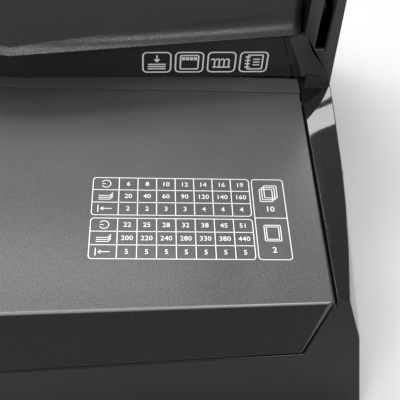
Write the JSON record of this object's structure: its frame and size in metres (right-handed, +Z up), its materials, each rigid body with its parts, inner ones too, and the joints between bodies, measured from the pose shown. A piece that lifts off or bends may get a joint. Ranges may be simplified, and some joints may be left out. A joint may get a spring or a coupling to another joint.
{
  "type": "comb binding machine",
  "caption": "Manual comb binding machine: flared base with hinged table cover, punch slot between side columns, hinged hood over a comb opener, U-shaped handle and side chip tray.",
  "frame": {"origin": "middle of the footprint, on the desk under the rubber feet", "axes": "+X to the user's right along the paper slot, +Y away from the user, +Z up"},
  "size_m": [0.368, 0.29, 0.3339],
  "materials": {
    "gloss_black": "high-gloss moulded",
    "satin_black": "satin moulded",
    "fascia_black": "smooth satin with printed pictograms",
    "cover_grey": "fine spark texture with a printed chart",
    "hood_black": "fine spark texture",
    "strip_grey": "satin moulded",
    "tray_black": "moulded",
    "control_black": "moulded",
    "zinc_steel": "zinc plated sheet",
    "ground_steel": "ground",
    "black_steel": "blackened",
    "plated_steel": "plated",
    "spring_steel": "drawn wire",
    "screw_steel": "zinc plated",
    "bronze": "sintered",
    "nylon": "natural",
    "rubber": "moulded"
  },
  "bodies": {
    "frame_body": {"base_casing": "gloss_black", "base_plate": "zinc_steel", "rubber_feet": "rubber", "base_screws": "screw_steel", "comb_tray": "tray_black", "entry_strip": "strip_grey", "left_column": "satin_black", "right_column": "satin_black", "fascia": "fascia_black", "top_deck": "tray_black", "deck_screws": "screw_steel", "rear_panel": "satin_black", "rear_screws": "screw_steel", "left_frame": "zinc_steel", "right_frame": "zinc_steel", "die_plate": "ground_steel", "stripper_plate": "ground_steel", "shaft_bushes": "bronze", "guide_rods": "ground_steel", "punch_springs": "spring_steel", "tine_plate": "zinc_steel", "hood_pins": "ground_steel", "cover_pins": "black_steel"},
    "handle": {"drive_shaft": "ground_steel", "punch_cams": "black_steel", "left_arm": "plated_steel", "right_arm": "plated_steel", "handle_bar": "plated_steel", "handle_grip": "rubber", "handle_caps": "control_black"},
    "punch": {"punch_bar": "black_steel", "punch_pins": "ground_steel"},
    "hood": {"hood": "hood_black"},
    "cover": {"front_cover": "cover_grey"},
    "chip_drawer": {"chip_tray": "tray_black", "tray_front": "gloss_black"},
    "opener": {"opener_shaft": "ground_steel", "pinions": "bronze", "opener_lever": "control_black", "lever_cap": "rubber"},
    "hooks": {"hook_plate": "zinc_steel", "comb_hooks": "zinc_steel", "hook_racks": "zinc_steel"},
    "margin": {"margin_knob": "control_black", "knob_shaft": "ground_steel", "stop_cam": "nylon"},
    "stop": {"depth_stop": "zinc_steel"},
    "guide": {"edge_guide": "control_black"}
  },
  "joints": [
    {"name": "handle_swing", "type": "hinge", "parent": "frame_body", "child": "handle", "pos_m": [0, 0.051, 0.12], "axis": [1, 0, 0], "range_deg": [0, 80], "stiffness_Nm_per_rad": 1.2, "springref_deg": -28.65},
    {"name": "punch_slide", "type": "slide", "parent": "frame_body", "child": "punch", "axis": [0, 0, -1], "range_m": [0, 0.0085], "deforming": ["punch_springs"]},
    {"name": "hood_hinge", "type": "hinge", "parent": "frame_body", "child": "hood", "pos_m": [0, 0.128, 0.163], "axis": [-1, 0, 0], "range_deg": [0, 95]},
    {"name": "cover_hinge", "type": "hinge", "parent": "frame_body", "child": "cover", "pos_m": [0, 0.008, 0.081], "axis": [-1, 0, 0], "range_deg": [0, 62]},
    {"name": "chip_slide", "type": "slide", "parent": "frame_body", "child": "chip_drawer", "axis": [-1, 0, 0], "range_m": [0, 0.16]},
    {"name": "opener_swing", "type": "hinge", "parent": "frame_body", "child": "opener", "pos_m": [0, 0.088, 0.118], "axis": [1, 0, 0], "range_deg": [0, 70]},
    {"name": "hook_slide", "type": "slide", "parent": "frame_body", "child": "hooks", "axis": [0, -1, 0], "range_m": [0, 0.01466]},
    {"name": "margin_turn", "type": "hinge", "parent": "frame_body", "child": "margin", "pos_m": [0.16, 0.118, 0.098], "axis": [1, 0, 0], "range_deg": [0, 180]},
    {"name": "stop_slide", "type": "slide", "parent": "frame_body", "child": "stop", "axis": [0, -1, 0], "range_m": [0, 0.003]},
    {"name": "guide_slide", "type": "slide", "parent": "frame_body", "child": "guide", "axis": [1, 0, 0], "range_m": [0, 0.04]}
  ],
  "couplings": [
    {"joint": "punch_slide", "follows": "handle_swing", "m_per_rad": 0.0060877},
    {"joint": "opener_swing", "follows": "hook_slide", "rad_per_m": 83.333},
    {"joint": "margin_turn", "follows": "stop_slide", "rad_per_m": 1047.2}
  ]
}
